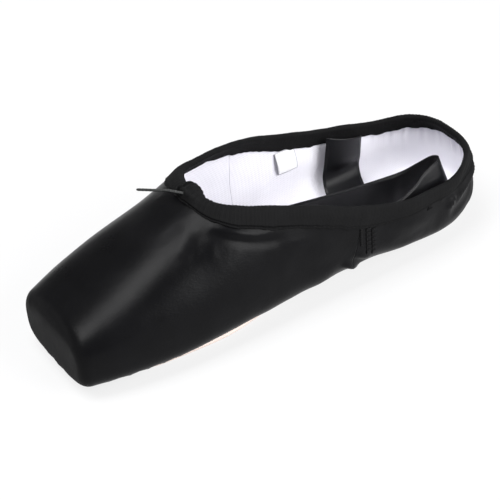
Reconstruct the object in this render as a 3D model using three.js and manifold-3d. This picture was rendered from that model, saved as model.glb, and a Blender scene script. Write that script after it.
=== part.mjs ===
// A pointe shoe, size 38: a stiff box with a flat platform at the toe, a soft quarter behind it,
// a drawstring casing round the collar, a thin leather outsole, a board insole and two ribbons
// tucked inside. Millimetres, +Z up. The toe points along -Y and the heel along +Y. The origin is
// on the floor, under the middle of the shoe.
import * as THREE from "three";
import { mergeVertices } from "three/addons/utils/BufferGeometryUtils.js";
import Module from "manifold-3d";

const wasm = await Module();
wasm.setup();

// ---- Driving sizes -------------------------------------------------------------------------
const LENGTH = 240; // platform to the back of the heel
const HEEL_DOME = 36; // length of the rounded heel end
const HEEL_TIP_HEIGHT = 23; // height of the rearmost point
const HEEL_SIDES = 0.9; // how roundly the heel's sides and top close in to that point
const HEEL_BASE = 0.35; // and its underside, which stays flat almost to the end
const PLATFORM_ROUNDING = 5; // edge radius between platform and box
const GAP = 0.3; // between pieces that meet
const CLEAR = 140; // a distance that is clear of the whole shoe

const BOX_WALL = 4.2; // pasted box, satin and lining
const QUARTER_WALL = 1.4; // satin and cotton only
const BOX_END = 60; // where the pasted box starts to thin out
const WING_END = 104; // where only the soft quarter is left

const SOLE_THICKNESS = 2.6;
const SOLE_FRONT = 14; // the sole starts this far behind the platform
const SOLE_BACK = 231;
const SOLE_FRONT_ROUND = 24; // length of the rounded ends of its outline
const SOLE_BACK_ROUND = 19;
const SOLE_REACH = 14; // a height above the upper's underside all along the sole
const LASTING_MARGIN = 6; // the upper is turned under the sole's edge by this much
const INSOLE_THICKNESS = 2.2;

const CASING_OUTSIDE = 11; // how far the collar casing reaches down the outside
const CASING_INSIDE = 8.5; // and down the inside
const CASING_THROAT = 6.5; // and forward over the vamp at the throat
const THROAT_LENGTH = 6; // power of the change to that: higher keeps it nearer the throat
const CASING_TAPE = 0.7; // thickness of the folded tape

const CORD_DIAMETER = 1.3;
const RIBBON_WIDTH = 23;
const RIBBON_THICKNESS = 0.7;

// The last, a row for each section from the platform back. at: distance from the platform,
// half: half width, low and high: underside and crown, belly: height of the widest point,
// roundTop and roundBase: exponents of the curve above and below the belly. Behind the throat
// the crown is only where the walls would meet if the collar did not cut them off.
const LAST = [
  { at: 0, half: 29, low: 3.2, high: 34, belly: 18, roundTop: 2.9, roundBase: 3.5 },
  { at: 22, half: 35, low: 3.1, high: 44, belly: 19, roundTop: 2.6, roundBase: 3.4 },
  { at: 45, half: 38, low: 2.9, high: 54, belly: 20, roundTop: 2.4, roundBase: 3.4 },
  { at: 70, half: 39, low: 2.9, high: 64.5, belly: 21, roundTop: 2.2, roundBase: 3.0 },
  { at: 95, half: 38.5, low: 3.2, high: 76, belly: 22, roundTop: 2.2, roundBase: 2.8 },
  { at: 125, half: 37.6, low: 5.4, high: 79, belly: 24, roundTop: 2.4, roundBase: 2.8 },
  { at: 155, half: 37.3, low: 6.4, high: 84, belly: 25, roundTop: 2.6, roundBase: 2.9 },
  { at: 180, half: 37.2, low: 4.6, high: 86, belly: 24, roundTop: 2.7, roundBase: 3.3 },
  { at: 204, half: 34.6, low: 2.9, high: 82, belly: 23, roundTop: 2.7, roundBase: 3.8 },
  { at: 224, half: 32.6, low: 2.9, high: 64, belly: 23, roundTop: 2.7, roundBase: 3.9 },
  { at: 240, half: 31.5, low: 2.9, high: 48, belly: 23, roundTop: 2.7, roundBase: 4.0 },
];

// The collar's top line seen from the side. height: on the +X side, rise: how much higher the
// soft quarter stands on the -X side.
const COLLAR = [
  { at: 60, height: 86, rise: 0 },
  { at: 80, height: 69.2, rise: 0 },
  { at: 92, height: 66, rise: -0.5 },
  { at: 108, height: 61.8, rise: 3.5 },
  { at: 130, height: 55, rise: 5 },
  { at: 155, height: 45, rise: 5 },
  { at: 185, height: 37.8, rise: 3.5 },
  { at: 210, height: 36.3, rise: 0.6 },
  { at: 240, height: 41.5, rise: 0 },
];

// The outsole's half width along the foot, without its rounded ends.
const SOLE_WIDTH = [
  { at: 14, half: 18 },
  { at: 45, half: 26 },
  { at: 75, half: 27.5 },
  { at: 105, half: 23 },
  { at: 135, half: 17 },
  { at: 165, half: 15.5 },
  { at: 200, half: 20.5 },
  { at: 231, half: 21 },
];

// The +X ribbon stands on edge: back along the quarter from where it is sewn on, up over a loose
// turn at the heel, and forward again along the middle of the foot. top: height of its upper edge,
// leanX and leanY: how far it leans over its whole width.
const NEAR_RIBBON = [
  { x: 30.6, y: 33, top: 37, leanX: 0, leanY: 0 },
  { x: 31.4, y: 48, top: 37, leanX: 0, leanY: 0 },
  { x: 31, y: 60, top: 38, leanX: -1, leanY: 0 },
  { x: 28.6, y: 70, top: 40, leanX: -3, leanY: -1 },
  { x: 26.2, y: 77, top: 42.6, leanX: -4.5, leanY: -2 },
  { x: 24.6, y: 83.5, top: 44.2, leanX: -5.5, leanY: -4 },
  { x: 23, y: 88.5, top: 44.4, leanX: -5, leanY: -6 },
  { x: 20, y: 90.8, top: 44.4, leanX: -2.5, leanY: -6.5 },
  { x: 17, y: 88.4, top: 43.6, leanX: 1, leanY: -6 },
  { x: 14.8, y: 82, top: 41, leanX: 1, leanY: -3 },
  { x: 13, y: 74, top: 38.6, leanX: 0, leanY: 0 },
  { x: 10.8, y: 62, top: 37.8, leanX: 0, leanY: 0 },
  { x: 7.6, y: 44, top: 37.5, leanX: 0, leanY: 0 },
  { x: 3.4, y: 24, top: 37.5, leanX: 0, leanY: 0 },
  { x: -1.6, y: 8, top: 36.5, leanX: 0, leanY: 0 },
  { x: -8, y: -6, top: 34, leanX: 0, leanY: 0 },
];

// The -X ribbon hangs from under the casing down the quarter and lies across the insole.
// wide: where its middle is along the foot, slant: rise of its width toward the heel.
const FAR_RIBBON = [
  { x: -31, z: 38, wide: 70, slant: -0.34 },
  { x: -31.3, z: 31, wide: 69.4, slant: -0.32 },
  { x: -31.2, z: 24, wide: 68.4, slant: -0.17 },
  { x: -30.4, z: 18.6, wide: 66.8, slant: -0.05 },
  { x: -26.4, z: 13.8, wide: 65, slant: 0 },
  { x: -20, z: 11.6, wide: 63, slant: 0 },
  { x: -13, z: 10.9, wide: 61, slant: 0 },
  { x: -4, z: 10.8, wide: 58.5, slant: 0 },
  { x: 6, z: 10.9, wide: 56, slant: 0 },
];

// The drawstring's stiff end stands out of the casing over the vamp.
const DRAWSTRING = [
  { x: 5.8, y: -41, z: 71.9 },
  { x: 0.6, y: -46, z: 71.6 },
  { x: -4.6, y: -49.2, z: 70.8 },
  { x: -10.2, y: -52, z: 69 },
  { x: -15.6, y: -54.2, z: 67.2 },
  { x: -21.4, y: -55.9, z: 64.9 },
];

const RING_POINTS = 40; // points round each section
const BEAD_SIDES = 12;
const LOOP_STEPS = 56; // points round the collar
const SOLE_STEPS = 40; // points along each side of the sole
const RIBBON_STEPS = { near: 52, far: 28 };
const STATIONS = [0, 0.7, 1.8, 3.2, 5, 13, 22, 33, 45, 57, 68, 78, 88, 98, 111, 125, 140, 155];
const REAR_STATIONS = [168, 180, 192, 204];
const DOME_STEPS = 8;

// ---- Curves and solids ---------------------------------------------------------------------
// A smooth curve through one column of a table (monotone cubic, so it never overshoots).
function along(table, column) {
  const x = table.map((row) => row.at);
  const y = table.map((row) => row[column]);
  const slope = x.slice(1).map((_, i) => (y[i + 1] - y[i]) / (x[i + 1] - x[i]));
  const tangent = x.map((_, i) => {
    if (i === 0) return slope[0];
    if (i === x.length - 1) return slope[i - 1];
    if (slope[i - 1] * slope[i] <= 0) return 0;
    return (2 * slope[i - 1] * slope[i]) / (slope[i - 1] + slope[i]);
  });
  return (at) => {
    const t = Math.min(Math.max(at, x[0]), x[x.length - 1]);
    const i = Math.max(0, x.findIndex((v, k) => k > 0 && t <= v) - 1);
    const span = x[i + 1] - x[i];
    const u = (t - x[i]) / span;
    return (
      y[i] * (1 + 2 * u) * (1 - u) ** 2 +
      y[i + 1] * u * u * (3 - 2 * u) +
      span * (tangent[i] * u * (1 - u) ** 2 - tangent[i + 1] * u * u * (1 - u))
    );
  };
}

const last = Object.fromEntries(
  ["half", "low", "high", "belly", "roundTop", "roundBase"].map((c) => [c, along(LAST, c)]),
);
const collar = { height: along(COLLAR, "height"), rise: along(COLLAR, "rise") };
const soleWidth = along(SOLE_WIDTH, "half");

const signedPower = (v, p) => Math.sign(v) * Math.abs(v) ** p;
const smooth = (a, b, v) => {
  const t = Math.min(Math.max((v - a) / (b - a), 0), 1);
  return t * t * (3 - 2 * t);
};
const wall = (at) => BOX_WALL + (QUARTER_WALL - BOX_WALL) * smooth(BOX_END, WING_END, at);

// The section of the last at one distance from the platform, moved in by inset(at).
function section(at, inset) {
  const front = inset(0);
  const length = LENGTH - front - inset(LENGTH);
  const edge = Math.min(at, PLATFORM_ROUNDING);
  const rounding =
    PLATFORM_ROUNDING - Math.sqrt(PLATFORM_ROUNDING ** 2 - (PLATFORM_ROUNDING - edge) ** 2);
  const shrink = inset(at) + rounding;
  const dome = Math.max(0, (at - (LENGTH - HEEL_DOME)) / HEEL_DOME);
  const left = Math.sqrt(Math.max(0, 1 - dome * dome));
  const tip = HEEL_TIP_HEIGHT;
  return {
    y: front + (at / LENGTH) * length - LENGTH / 2,
    half: (last.half(at) - shrink) * left ** HEEL_SIDES,
    low: tip - (tip - last.low(at) - shrink) * left ** HEEL_BASE,
    high: tip + (last.high(at) - shrink - tip) * left ** HEEL_SIDES,
    belly: last.belly(at),
    top: last.roundTop(at),
    base: last.roundBase(at),
  };
}

// A point of that section: turn goes round it, 0 at the crown and half a turn underneath.
function sectionPoint(s, turn) {
  const cos = Math.cos(turn * 2 * Math.PI);
  const sin = Math.sin(turn * 2 * Math.PI);
  const power = 2 / (cos >= 0 ? s.top : s.base);
  const reach = cos >= 0 ? s.high - s.belly : s.belly - s.low;
  return new THREE.Vector3(
    s.half * signedPower(sin, power),
    s.y,
    s.belly + reach * signedPower(cos, power),
  );
}

// A skin over rings of points, closed by fans at both ends, or joined end to end.
function skin(rings, joined = false) {
  const count = rings[0].length;
  const points = rings.flat();
  const faces = [];
  const rows = joined ? rings.length : rings.length - 1;
  for (let i = 0; i < rows; i++) {
    const next = (i + 1) % rings.length;
    for (let j = 0; j < count; j++) {
      const k = (j + 1) % count;
      const [a, b] = [i * count + j, i * count + k];
      const [c, d] = [next * count + j, next * count + k];
      faces.push([a, b, d], [a, d, c]);
    }
  }
  if (!joined) {
    for (const row of [0, rings.length - 1]) {
      const flip = row === 0;
      const centre = points.length;
      const sum = rings[row].reduce((s, p) => s.add(p), new THREE.Vector3());
      points.push(sum.divideScalar(count));
      for (let j = 0; j < count; j++) {
        const [a, b] = [row * count + j, row * count + ((j + 1) % count)];
        faces.push(flip ? [centre, b, a] : [centre, a, b]);
      }
    }
  }
  const geometry = new THREE.BufferGeometry().setFromPoints(points);
  geometry.setIndex(faces.flat());
  return geometry;
}

function toSolid(geometry) {
  const bare = geometry.clone();
  bare.deleteAttribute("normal");
  bare.deleteAttribute("uv");
  const merged = mergeVertices(bare, 1e-4);
  const mesh = new wasm.Mesh({
    numProp: 3,
    vertProperties: new Float32Array(merged.attributes.position.array),
    triVerts: new Uint32Array(merged.index.array),
  });
  const solid = new wasm.Manifold(mesh);
  return solid.volume() > 0 ? solid : flipped(merged);
}

function flipped(merged) {
  const turned = Array.from(merged.index.array);
  for (let i = 0; i < turned.length; i += 3) {
    [turned[i], turned[i + 1]] = [turned[i + 1], turned[i]];
  }
  const mesh = new wasm.Mesh({
    numProp: 3,
    vertProperties: new Float32Array(merged.attributes.position.array),
    triVerts: new Uint32Array(turned),
  });
  return new wasm.Manifold(mesh);
}

function toGeometry(solid) {
  const { vertProperties, triVerts } = solid.getMesh();
  const geometry = new THREE.BufferGeometry();
  geometry.setAttribute("position", new THREE.BufferAttribute(vertProperties, 3));
  geometry.setIndex(new THREE.BufferAttribute(triVerts, 1));
  return geometry;
}

// ---- Forms worked out from the last --------------------------------------------------------
// The whole last, moved in or (with a negative inset) out.
function form(inset) {
  const dome = Array.from({ length: DOME_STEPS }, (_, i) => ((i + 1) / (DOME_STEPS + 0.45)) * 90);
  const domeStations = dome.map(
    (deg) => LENGTH - HEEL_DOME + HEEL_DOME * Math.sin(THREE.MathUtils.degToRad(deg)),
  );
  const rings = [...STATIONS, ...REAR_STATIONS, ...domeStations].map((at) => {
    const s = section(at, inset);
    return Array.from({ length: RING_POINTS }, (_, i) => sectionPoint(s, i / RING_POINTS));
  });
  return toSolid(skin(rings));
}

// A block along the foot between two heights: bottom(at, side) and top(at, side), where side is
// -1 on the -X side and 1 on the +X side.
function slab(stations, bottom, top) {
  const near = 14; // the two sides blend between -near and near
  const rings = stations.map((at) => {
    const y = at - LENGTH / 2;
    return [
      new THREE.Vector3(-CLEAR, y, bottom(at, -1)),
      new THREE.Vector3(-near, y, bottom(at, -1)),
      new THREE.Vector3(near, y, bottom(at, 1)),
      new THREE.Vector3(CLEAR, y, bottom(at, 1)),
      new THREE.Vector3(CLEAR, y, top(at, 1)),
      new THREE.Vector3(-CLEAR, y, top(at, -1)),
    ];
  });
  return toSolid(skin(rings));
}

const collarLine = (at, side) => collar.height(at) + (side < 0 ? collar.rise(at) : 0);

// Everything above the collar's top line, raised by lift.
function aboveCollar(lift) {
  const stations = [58, 66, 72, 77, 84, 92, 100, 108, 118, 130, 142, 155, 170, 185, 200, 215, 245];
  return slab(stations, (at, side) => collarLine(at, side) + lift, () => CLEAR);
}

// Where the last's crown line passes through the collar's line between two stations, by halving.
function crownMeetsCollar(from, to) {
  const over = (at) => section(at, () => 0).high > collar.height(at);
  let [a, b] = [from, to];
  while (Math.abs(b - a) > 1e-6) {
    const middle = (a + b) / 2;
    if (over(middle) === over(a)) a = middle;
    else b = middle;
  }
  return a;
}

// The collar's edge on the outside of the upper, once round from the throat.
function collarLoop() {
  const throat = crownMeetsCollar(BOX_END, 100);
  const back = crownMeetsCollar(210, LENGTH - 0.01);
  return Array.from({ length: LOOP_STEPS }, (_, i) => {
    const angle = (i / LOOP_STEPS) * 2 * Math.PI;
    const at = throat + ((back - throat) * (1 - Math.cos(angle))) / 2;
    const side = Math.sin(angle) < 0 ? -1 : 1;
    const s = section(at, () => 0);
    const share = Math.min(1, Math.max(0, (collarLine(at, side) - s.belly) / (s.high - s.belly)));
    const turn = Math.acos(share ** (s.top / 2)) / (2 * Math.PI);
    return sectionPoint(s, side * turn);
  });
}

// A round bead along the collar's edge, thinner at the throat.
function collarBead(full) {
  const curve = new THREE.CatmullRomCurve3(collarLoop(), true);
  const rings = Array.from({ length: LOOP_STEPS }, (_, i) => {
    const share = i / LOOP_STEPS;
    const centre = curve.getPoint(share);
    const tangent = curve.getTangent(share);
    const across = new THREE.Vector3(0, 0, 1).cross(tangent).normalize();
    const up = tangent.clone().cross(across);
    const throat = ((1 + Math.cos(share * 2 * Math.PI)) / 2) ** THROAT_LENGTH;
    const radius = full + (Math.min(full, CASING_THROAT) - full) * throat;
    return Array.from({ length: BEAD_SIDES }, (_, j) => {
      const angle = (j / BEAD_SIDES) * 2 * Math.PI;
      return centre
        .clone()
        .addScaledVector(across, radius * Math.cos(angle))
        .addScaledVector(up, radius * Math.sin(angle));
    });
  });
  return toSolid(skin(rings, true));
}

// The sole's outline, moved in by margin and run up from one height to another.
function soleBlock(margin, from, to) {
  const front = SOLE_FRONT + margin;
  const back = SOLE_BACK - margin;
  const half = (at) => {
    const f = Math.max(0, (front + SOLE_FRONT_ROUND - at) / SOLE_FRONT_ROUND);
    const b = Math.max(0, (at - back + SOLE_BACK_ROUND) / SOLE_BACK_ROUND);
    const ends = Math.sqrt(Math.max(0, 1 - f * f)) * Math.sqrt(Math.max(0, 1 - b * b));
    return (soleWidth(at) - margin) * ends;
  };
  const side = Array.from({ length: SOLE_STEPS + 1 }, (_, i) => {
    const share = (1 - Math.cos((i / SOLE_STEPS) * Math.PI)) / 2;
    const at = front + share * (back - front);
    return new THREE.Vector2(half(at), at - LENGTH / 2);
  });
  const mirrored = side.slice(1, -1).reverse().map((p) => new THREE.Vector2(-p.x, p.y));
  const outline = new THREE.Shape([...side, ...mirrored]);
  const block = new THREE.ExtrudeGeometry(outline, { depth: to - from, bevelEnabled: false });
  return toSolid(block.translate(0, 0, from));
}

// ---- Pieces --------------------------------------------------------------------------------
const material = (color, roughness) =>
  new THREE.MeshStandardMaterial({ color, roughness, metalness: 0 });
const SATIN = material(0x17171a, 0.42);
const COTTON = material(0xe6e4ea, 0.9);
const LEATHER = material(0xc79a78, 0.75);
const TAPE = material(0x1d1d1f, 0.85);
const RIBBON = material(0x1b1b1f, 0.4);
const CORD = material(0x3a3c3b, 0.7);

const group = new THREE.Group();
function add(name, geometry, look) {
  const mesh = new THREE.Mesh(geometry, look);
  mesh.name = name;
  group.add(mesh);
}

// Box, vamp and quarter in one: the last's form, hollow, open at the collar and underneath.
const outside = form(() => 0);
const inside = form(wall);
const underfoot = soleBlock(LASTING_MARGIN, 0, SOLE_REACH);
const hollow = outside.subtract(inside).subtract(aboveCollar(0));
add("upper", toGeometry(hollow.subtract(underfoot)), SATIN);

// Leather outsole: flat where it stands at the forefoot and heel, hollowed under the arch.
const archStations = [0, 35, 45, 70, 80, 90, 100, 110, 120, 130, 140, 150, 160, 170, 180, 190, 204, 250];
const soleBottom = (at) => last.low(at) - GAP - SOLE_THICKNESS - 1e-3;
const underArch = slab(archStations, () => -CLEAR, soleBottom);
const grown = form(() => -GAP);
const sole = soleBlock(0, 0, SOLE_REACH).subtract(grown).subtract(underArch);
add("outsole", toGeometry(sole), LEATHER);

// Board insole, lying on the turned-in margin of the upper.
const insoleTop = (at) => last.low(at) + wall(at) + GAP + INSOLE_THICKNESS;
const insoleStations = [-5, 10, 25, 45, 70, 82, 95, 110, 125, 140, 155, 168, 180, 192, 204, 250];
const aboveInsole = slab(insoleStations, insoleTop, () => CLEAR);
const insideClear = form((at) => wall(at) + GAP);
add("insole", toGeometry(insideClear.subtract(aboveInsole)), COTTON);

// The casing: tape folded over the collar's edge, down the outside and the inside.
const tapeOutside = form(() => -GAP - CASING_TAPE);
const tapeInside = form((at) => wall(at) + GAP + CASING_TAPE);
const edgeClear = grown.subtract(insideClear).subtract(aboveCollar(GAP));
const insideLeg = inside.subtract(collarBead(CASING_INSIDE));
const casing = tapeOutside
  .subtract(tapeInside)
  .subtract(aboveCollar(GAP + CASING_TAPE))
  .intersect(collarBead(CASING_OUTSIDE))
  .subtract(insideLeg)
  .subtract(edgeClear);
add("collar_casing", toGeometry(casing), TAPE);

// Drawstring: its one free end.
const cordPath = new THREE.CatmullRomCurve3(DRAWSTRING.map((p) => new THREE.Vector3(p.x, p.y, p.z)));
const cordSection = new THREE.Shape().absarc(0, 0, CORD_DIAMETER / 2, 0, 2 * Math.PI);
const cord = new THREE.ExtrudeGeometry(new THREE.Shape(cordSection.getPoints(4).slice(0, 8)), {
  steps: 12,
  extrudePath: cordPath,
});
add("drawstring", toGeometry(toSolid(cord)), CORD);

// A flat strip of ribbon: its middle line, and the direction of its width at each of its points.
function ribbon(middle, widthWays, steps) {
  const curve = new THREE.CatmullRomCurve3(middle);
  const turning = new THREE.CatmullRomCurve3(widthWays);
  const rings = Array.from({ length: steps + 1 }, (_, i) => {
    const centre = curve.getPoint(i / steps);
    const widthWay = turning.getPoint(i / steps).normalize();
    const across = curve.getTangent(i / steps).cross(widthWay).normalize();
    const corner = (u, v) =>
      centre
        .clone()
        .addScaledVector(widthWay, (u * RIBBON_WIDTH) / 2)
        .addScaledVector(across, (v * RIBBON_THICKNESS) / 2);
    return [corner(-1, -1), corner(1, -1), corner(1, 1), corner(-1, 1)];
  });
  return toSolid(skin(rings));
}

const nearWays = NEAR_RIBBON.map((p) =>
  new THREE.Vector3(p.leanX, p.leanY, RIBBON_WIDTH).normalize(),
);
const nearMiddle = NEAR_RIBBON.map((p, i) =>
  new THREE.Vector3(p.x, p.y, p.top).addScaledVector(nearWays[i], -RIBBON_WIDTH / 2),
);
add("ribbon_near", toGeometry(ribbon(nearMiddle, nearWays, RIBBON_STEPS.near)), RIBBON);

const farWays = FAR_RIBBON.map((p) => new THREE.Vector3(0, 1, p.slant).normalize());
const farMiddle = FAR_RIBBON.map((p) => new THREE.Vector3(p.x, p.wide, p.z));
add("ribbon_far", toGeometry(ribbon(farMiddle, farWays, RIBBON_STEPS.far)), RIBBON);

export default group;
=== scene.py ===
import math

import bmesh
import bpy
import numpy as np
from mathutils import Matrix, Vector, noise
from mathutils.bvhtree import BVHTree


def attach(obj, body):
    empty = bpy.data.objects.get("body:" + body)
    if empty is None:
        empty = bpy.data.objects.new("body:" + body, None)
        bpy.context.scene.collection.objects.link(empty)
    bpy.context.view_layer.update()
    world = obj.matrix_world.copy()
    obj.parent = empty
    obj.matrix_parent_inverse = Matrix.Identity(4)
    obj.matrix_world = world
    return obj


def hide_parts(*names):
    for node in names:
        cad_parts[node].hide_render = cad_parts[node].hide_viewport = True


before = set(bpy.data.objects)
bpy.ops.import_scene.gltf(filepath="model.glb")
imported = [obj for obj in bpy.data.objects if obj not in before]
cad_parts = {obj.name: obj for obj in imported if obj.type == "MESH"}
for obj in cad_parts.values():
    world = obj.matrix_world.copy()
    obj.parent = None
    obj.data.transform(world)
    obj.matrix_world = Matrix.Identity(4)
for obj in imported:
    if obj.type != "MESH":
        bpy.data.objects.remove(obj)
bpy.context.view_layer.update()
bpy.ops.object.select_all(action="DESELECT")

# ---- Camera ------------------------------------------------------------------------------------
# It stands off the toe on the +X side, looking down into the open shoe, rolled a little.
CAMERA_PLACE = Vector((0.5769, -0.3495, 0.5221))
CAMERA_FORWARD = Vector((-0.6895, 0.4062, -0.5996)).normalized()
CAMERA_UP = Vector((-0.4471, 0.3542, 0.8214))
CAMERA_LENS = 123.0

camera_right = CAMERA_FORWARD.cross(CAMERA_UP).normalized()
camera_up = camera_right.cross(CAMERA_FORWARD)
camera_turn = Matrix((camera_right, camera_up, -CAMERA_FORWARD)).transposed()
camera_data = bpy.data.cameras.new("camera")
camera_data.sensor_width = 36.0
camera_data.lens = CAMERA_LENS
camera = bpy.data.objects.new("camera", camera_data)
camera.matrix_world = Matrix.Translation(CAMERA_PLACE) @ camera_turn.to_4x4()
bpy.context.collection.objects.link(camera)
bpy.context.scene.camera = camera

# ---- Drawstring --------------------------------------------------------------------------------
# The free end of the collar's drawstring: a stiff waxed cotton braid that comes out of the casing
# at the throat and stands over the vamp.
MM = 0.001
DRAWSTRING = [
    (5.8, -41.0, 70.4), (0.6, -46.0, 71.2), (-4.6, -49.2, 70.8),
    (-10.2, -52.0, 69.0), (-15.6, -54.2, 67.2), (-21.4, -55.9, 64.9),
]
CORD_DIAMETER = 1.3
CORD_SIDES = 20
BRAID_PITCH = 2.6  # along the cord, one turn of a strand


class Value:
    """A shader socket that can be used in an expression with numbers and other sockets."""

    def __init__(self, tree, socket):
        self.tree = tree
        self.socket = socket

    def maths(self, operation, *operands, clamp=False):
        node = self.tree.nodes.new("ShaderNodeMath")
        node.operation = operation
        node.use_clamp = clamp
        for place, operand in zip(node.inputs, operands):
            if isinstance(operand, Value):
                self.tree.links.new(operand.socket, place)
            else:
                place.default_value = operand
        return Value(self.tree, node.outputs[0])

    def __add__(self, other):
        return self.maths("ADD", self, other)

    def __radd__(self, other):
        return self.maths("ADD", other, self)

    def __sub__(self, other):
        return self.maths("SUBTRACT", self, other)

    def __rsub__(self, other):
        return self.maths("SUBTRACT", other, self)

    def __mul__(self, other):
        return self.maths("MULTIPLY", self, other)

    def sine(self):
        return self.maths("SINE", self)

    def size(self):
        """Its value without its sign."""
        return self.maths("ABSOLUTE", self)

    def inside(self, edge, soft):
        """1 where the value is under edge, 0 where it is over edge + soft."""
        return self.maths("DIVIDE", edge + soft - self, soft, clamp=True)


class Finish:
    """A material whose nodes are written as expressions."""

    def __init__(self, name, **constants):
        self.material = bpy.data.materials.new(name)
        self.material.use_nodes = True
        self.tree = self.material.node_tree
        self.shader = self.tree.nodes["Principled BSDF"]
        self.feed(self.shader, {key.replace("_", " "): v for key, v in constants.items()})

    def feed(self, node, inputs):
        for key, value in inputs.items():
            if isinstance(value, Value):
                self.tree.links.new(value.socket, node.inputs[key])
            else:
                node.inputs[key].default_value = value

    def node(self, kind, settings=None, inputs=None, output=0):
        """One shader node: its settings first, then its sockets. Returns one of its outputs."""
        node = self.tree.nodes.new("ShaderNode" + kind)
        for key, value in (settings or {}).items():
            setattr(node, key, value)
        self.feed(node, inputs or {})
        return Value(self.tree, node.outputs[output])

    def place(self, source="Object"):
        """The x, y and z of the piece's Object coordinates, or u and v of its map."""
        vector = self.node("TexCoord", output=source)
        return [self.node("SeparateXYZ", inputs={"Vector": vector}, output=i) for i in range(3)]

    def vector(self, x, y, z):
        return self.node("CombineXYZ", inputs={"X": x, "Y": y, "Z": z})

    def grain(self, scale, detail=2.0, vector=None):
        """Noise of about 0 to 1. Without a vector it reads Object coordinates."""
        vector = vector or self.node("TexCoord", output="Object")
        inputs = {"Vector": vector, "Scale": scale, "Detail": detail}
        return self.node("TexNoise", inputs=inputs)

    def blend(self, share, one, other):
        """The colour one where share is 0, and the colour other where it is 1."""
        inputs = {0: share, 6: one, 7: other}
        return self.node("Mix", {"data_type": "RGBA"}, inputs, output=2)

    def relief(self, height, distance):
        """height, about 0 to 1, raises the surface by up to distance metres."""
        inputs = {"Height": height, "Distance": distance}
        self.feed(self.shader, {"Normal": self.node("Bump", inputs=inputs)})


def rgb(r, g, b):
    """A linear colour from the 0 to 255 values of a screen."""
    def linear(v):
        v /= 255
        return v / 12.92 if v <= 0.04045 else ((v + 0.055) / 1.055) ** 2.4
    return (linear(r), linear(g), linear(b), 1.0)


def smooth_curve(points, steps):
    """steps + 1 points of a Catmull-Rom curve through points, evenly spaced by its length."""
    p = np.array(points, float)
    p = np.vstack([2 * p[0] - p[1], p, 2 * p[-1] - p[-2]])
    fine = []
    for i in range(1, len(p) - 2):
        t = np.linspace(0, 1, 24, endpoint=False)[:, None]
        a, b, c, d = p[i - 1 : i + 3]
        fine.append(
            0.5 * (2 * b + (c - a) * t + (2 * a - 5 * b + 4 * c - d) * t ** 2
                   + (3 * b - a - 3 * c + d) * t ** 3)
        )
    fine = np.vstack(fine + [p[-2:-1]])
    return evenly(fine, steps)


def evenly(line, steps):
    """steps + 1 points along a line, evenly spaced by its length."""
    along = np.concatenate([[0], np.cumsum(np.linalg.norm(np.diff(line, axis=0), axis=1))])
    at = np.linspace(0, along[-1], steps + 1)
    return np.stack([np.interp(at, along, line[:, k]) for k in range(line.shape[1])], axis=1)


def length_of(line):
    return float(np.linalg.norm(np.diff(line, axis=0), axis=1).sum())


def unit(v):
    return v / np.maximum(np.linalg.norm(v, axis=-1, keepdims=True), 1e-9)


def ring_cells(rows, columns):
    """The row and column of each cell of a grid of rings, and its four corners' numbers."""
    for i in range(rows - 1):
        for j in range(columns):
            a, b, k = i * columns, (i + 1) * columns, (j + 1) % columns
            yield (i, j), (a + j, a + k, b + k, b + j)


def piece_from_grid(name, points, finish, caps=False, uv=None):
    """A piece from a grid of points in millimetres, in which each row is a closed ring. caps
    closes both end rows, and uv gives the map's place of a row and column."""
    rows, columns = points.shape[:2]
    cells, faces = zip(*ring_cells(rows, columns))
    faces = list(faces)
    if caps:
        faces.append(tuple(range(columns))[::-1])
        faces.append(tuple((rows - 1) * columns + j for j in range(columns)))
    mesh = bpy.data.meshes.new(name)
    mesh.from_pydata((points.reshape(-1, 3) * MM).tolist(), [], faces)
    layer = mesh.uv_layers.new(name="map")
    if uv is not None:
        for face, (i, j) in zip(mesh.polygons, cells):
            corners = ((i, j), (i, j + 1), (i + 1, j + 1), (i + 1, j))
            for loop, (r, c) in zip(face.loop_indices, corners):
                layer.data[loop].uv = uv(r, c)
    return finished(name, mesh, finish)


def finished(name, mesh, finish):
    """Merges doubles, turns the faces outwards, smooths, and makes the object ride."""
    tidy = bmesh.new()
    tidy.from_mesh(mesh)
    bmesh.ops.remove_doubles(tidy, verts=tidy.verts, dist=1e-6)
    bmesh.ops.dissolve_degenerate(tidy, edges=tidy.edges, dist=1e-6)
    bmesh.ops.recalc_face_normals(tidy, faces=tidy.faces)
    tidy.to_mesh(mesh)
    tidy.free()
    mesh.shade_smooth()
    mesh.materials.append(finish.material)
    piece = bpy.data.objects.new(name, mesh)
    bpy.context.collection.objects.link(piece)
    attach(piece, "root")
    return piece


def tube(name, line, radius, sides, finish, ripple):
    """A round tube along a line, rounded off at both ends, with its u along and v around."""
    steps = len(line) - 1
    total = length_of(line)
    tangent = unit(np.gradient(line, axis=0))
    side = unit(np.cross(tangent, [0.0, 0.0, 1.0]))
    up = np.cross(side, tangent)
    angle = np.linspace(0, 2 * math.pi, sides, endpoint=False)
    rings = []
    for share in (0.0, 0.5, 0.87):
        rings.append((0, share, -math.sqrt(1 - share ** 2) * 0.6))
    rings += [(i, 1.0, 0.0) for i in range(1, steps)]
    for share in (0.87, 0.5, 0.0):
        rings.append((steps, share, math.sqrt(1 - share ** 2) * 0.6))
    grid = []
    for i, share, ahead in rings:
        reach = radius * share * (1 + ripple(i / steps * total, angle))
        centre = line[i] + tangent[i] * ahead * radius
        ring = side[i] * np.cos(angle)[:, None] + up[i] * np.sin(angle)[:, None]
        grid.append(centre + ring * reach[:, None])
    uv = lambda r, c: (rings[r][0] / steps * total * MM, c / sides * 2 * math.pi * radius * MM)
    return piece_from_grid(name, np.array(grid), finish, uv=uv)


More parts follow.
